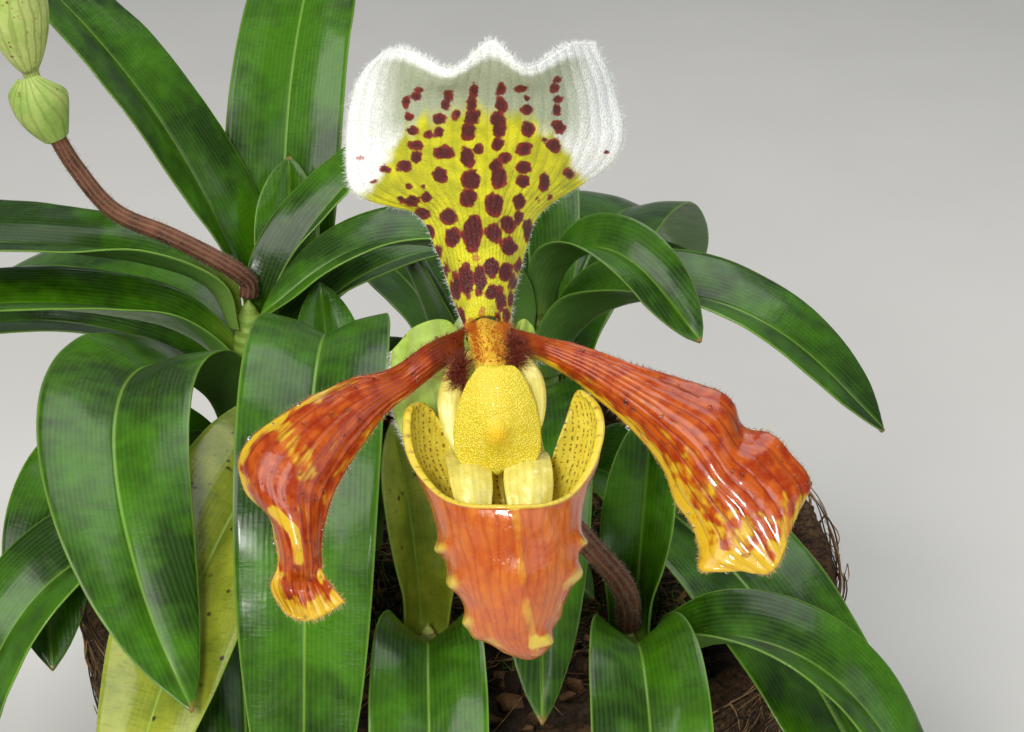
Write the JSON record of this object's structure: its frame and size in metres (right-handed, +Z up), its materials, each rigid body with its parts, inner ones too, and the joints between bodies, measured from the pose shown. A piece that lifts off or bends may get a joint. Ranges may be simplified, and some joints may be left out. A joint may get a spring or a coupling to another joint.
{
  "type": "potted slipper orchid",
  "caption": "Clump of strap-leaved slipper orchid growths in a round fibre pot, with an open flower on a bent stalk and a closed bud on another.",
  "frame": {"origin": "centre of the pot's flat base, on the surface it stands on", "axes": "+Z up, -Y towards the side that the open flower faces, +X to the right as that side is looked at"},
  "size_m": [0.4235, 0.4106, 0.3386],
  "materials": {
    "bract": "pale green, hairy edge",
    "bud": "yellow-green, downy",
    "column": "yellow, sparkling papillae",
    "dorsal_sepal": "white margin, yellow-green middle, maroon spots",
    "fibre": "matted coir and tree-fern fibre, dry and rough",
    "filling": "loose fibre and fine bark",
    "leaf": "glossy green leaf, grey-green below",
    "old_leaf": "yellowing leaf with dark specks, glossy",
    "ovary": "green-brown, downy",
    "petal": "orange-brown with darker veins, varnished",
    "pouch": "orange-brown with yellow net, varnished",
    "scape": "purple-brown, downy",
    "stem": "green leaf bases, satin",
    "synsepal": "pale green with fine brown dots"
  },
  "bodies": {
    "root": {"bract": "bract", "bract_bud": "bract", "bud": "bud", "column": "column", "dorsal_sepal": "dorsal_sepal", "growing_medium": "filling", "leaf_back_inner": "leaf", "leaf_back_left_back": "leaf", "leaf_back_left_back_low": "leaf", "leaf_back_left_erect_left": "leaf", "leaf_back_left_erect_right": "leaf", "leaf_back_left_side_low": "leaf", "leaf_back_low_left": "leaf", "leaf_back_low_right": "leaf", "leaf_front_erect": "leaf", "leaf_front_hanging": "leaf", "leaf_front_left_hanging": "leaf", "leaf_front_left_low": "leaf", "leaf_front_right": "leaf", "leaf_left_broad": "leaf", "leaf_left_hanging_left": "leaf", "leaf_left_inner": "leaf", "leaf_left_long": "leaf", "leaf_left_right_rising": "leaf", "leaf_left_short": "leaf", "leaf_left_side": "leaf", "leaf_middle_front": "leaf", "leaf_middle_inner": "leaf", "leaf_middle_low_right": "leaf", "leaf_middle_speckled": "old_leaf", "leaf_right_arching_left": "leaf", "leaf_right_arching_right": "leaf", "leaf_right_back": "leaf", "leaf_right_back_right": "leaf", "leaf_right_hanging_front": "leaf", "leaf_right_long_right": "leaf", "leaf_right_right_front": "leaf", "leaf_young_hanging": "leaf", "leaf_young_yellow": "old_leaf", "ovary": "ovary", "petal_left": "petal", "petal_right": "petal", "pot": "fibre", "pouch": "pouch", "scape": "scape", "scape_bud": "scape", "stem_back": "stem", "stem_back_left": "stem", "stem_front": "stem", "stem_front_left": "stem", "stem_left": "stem", "stem_middle": "stem", "stem_right": "stem", "stem_young": "stem", "synsepal": "synsepal"}
  },
  "joints": []
}
